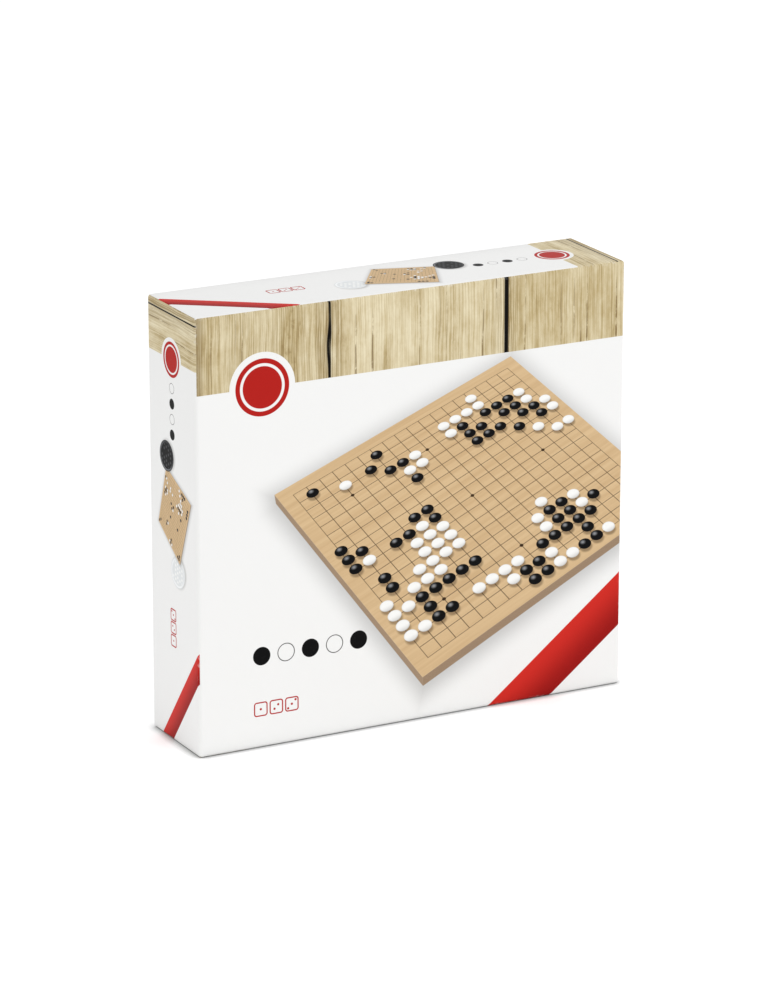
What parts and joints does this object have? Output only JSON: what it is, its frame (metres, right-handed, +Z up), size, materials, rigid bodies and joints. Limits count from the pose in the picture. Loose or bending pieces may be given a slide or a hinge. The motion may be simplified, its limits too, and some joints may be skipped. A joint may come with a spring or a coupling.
{
  "type": "boxed weiqi set",
  "caption": "Standing lift-off-lid game box of wrapped greyboard holding a weiqi board, a formed tray, lidded bowls of stones and a folded leaflet.",
  "frame": {"origin": "middle of the underside of the standing box", "axes": "+Z up, lid panel facing -Y, base panel facing +Y, +X to the right of someone facing the lid"},
  "size_m": [0.32, 0.072, 0.3],
  "materials": {
    "lid_print": "satin-coated printed paper",
    "base_paper": "satin-coated white paper",
    "greyboard": "matt",
    "stay_tape": "matt brown paper",
    "tray_plastic": "satin formed sheet",
    "black_plastic": "gloss moulded",
    "clear_plastic": "milky translucent moulded",
    "black_stone": "polished",
    "white_stone": "polished",
    "board_core_wood": "matt",
    "board_veneer_wood": "satin varnish",
    "leaflet_paper": "matt"
  },
  "bodies": {
    "base": {"base_back_board": "greyboard", "base_left_board": "greyboard", "base_right_board": "greyboard", "base_top_board": "greyboard", "base_bottom_board": "greyboard", "base_corner_stays": "stay_tape", "base_wrap": "base_paper"},
    "tray": {"tray_deck": "tray_plastic", "tray_walls": "tray_plastic", "tray_black_well": "tray_plastic", "tray_white_well": "tray_plastic"},
    "bowl_black": {"black_bowl": "black_plastic", "black_stones": "black_stone"},
    "bowl_white": {"white_bowl": "clear_plastic", "white_stones": "white_stone"},
    "cap_black": {"black_bowl_lid": "black_plastic"},
    "cap_white": {"white_bowl_lid": "clear_plastic"},
    "board": {"board_core": "board_core_wood", "board_face_veneer": "board_veneer_wood", "board_back_veneer": "board_veneer_wood"},
    "leaflet": {"rules_leaflet": "leaflet_paper"},
    "lid": {"lid_front_board": "greyboard", "lid_left_board": "greyboard", "lid_right_board": "greyboard", "lid_top_board": "greyboard", "lid_bottom_board": "greyboard", "lid_corner_stays": "stay_tape", "lid_wrap": "lid_print"}
  },
  "joints": [
    {"name": "tray_lift", "type": "slide", "parent": "base", "child": "tray", "axis": [0, -1, 0], "range_m": [0, 0.1]},
    {"name": "black_bowl_lift", "type": "slide", "parent": "tray", "child": "bowl_black", "axis": [0, -1, 0], "range_m": [0, 0.06]},
    {"name": "white_bowl_lift", "type": "slide", "parent": "tray", "child": "bowl_white", "axis": [0, -1, 0], "range_m": [0, 0.06]},
    {"name": "black_bowl_lid_lift", "type": "slide", "parent": "bowl_black", "child": "cap_black", "axis": [0, -1, 0], "range_m": [0, 0.04]},
    {"name": "white_bowl_lid_lift", "type": "slide", "parent": "bowl_white", "child": "cap_white", "axis": [0, -1, 0], "range_m": [0, 0.04]},
    {"name": "board_lift", "type": "slide", "parent": "cap_black", "child": "board", "axis": [0, -1, 0], "range_m": [0, 0.14]},
    {"name": "leaflet_lift", "type": "slide", "parent": "board", "child": "leaflet", "axis": [0, -1, 0], "range_m": [0, 0.06]},
    {"name": "lid_lift", "type": "slide", "parent": "leaflet", "child": "lid", "axis": [0, -1, 0], "range_m": [0, 0.22]}
  ],
  "couplings": [
    {"joint": "white_bowl_lift", "follows": "black_bowl_lift", "ratio": 1},
    {"joint": "white_bowl_lid_lift", "follows": "black_bowl_lid_lift", "ratio": 1}
  ]
}
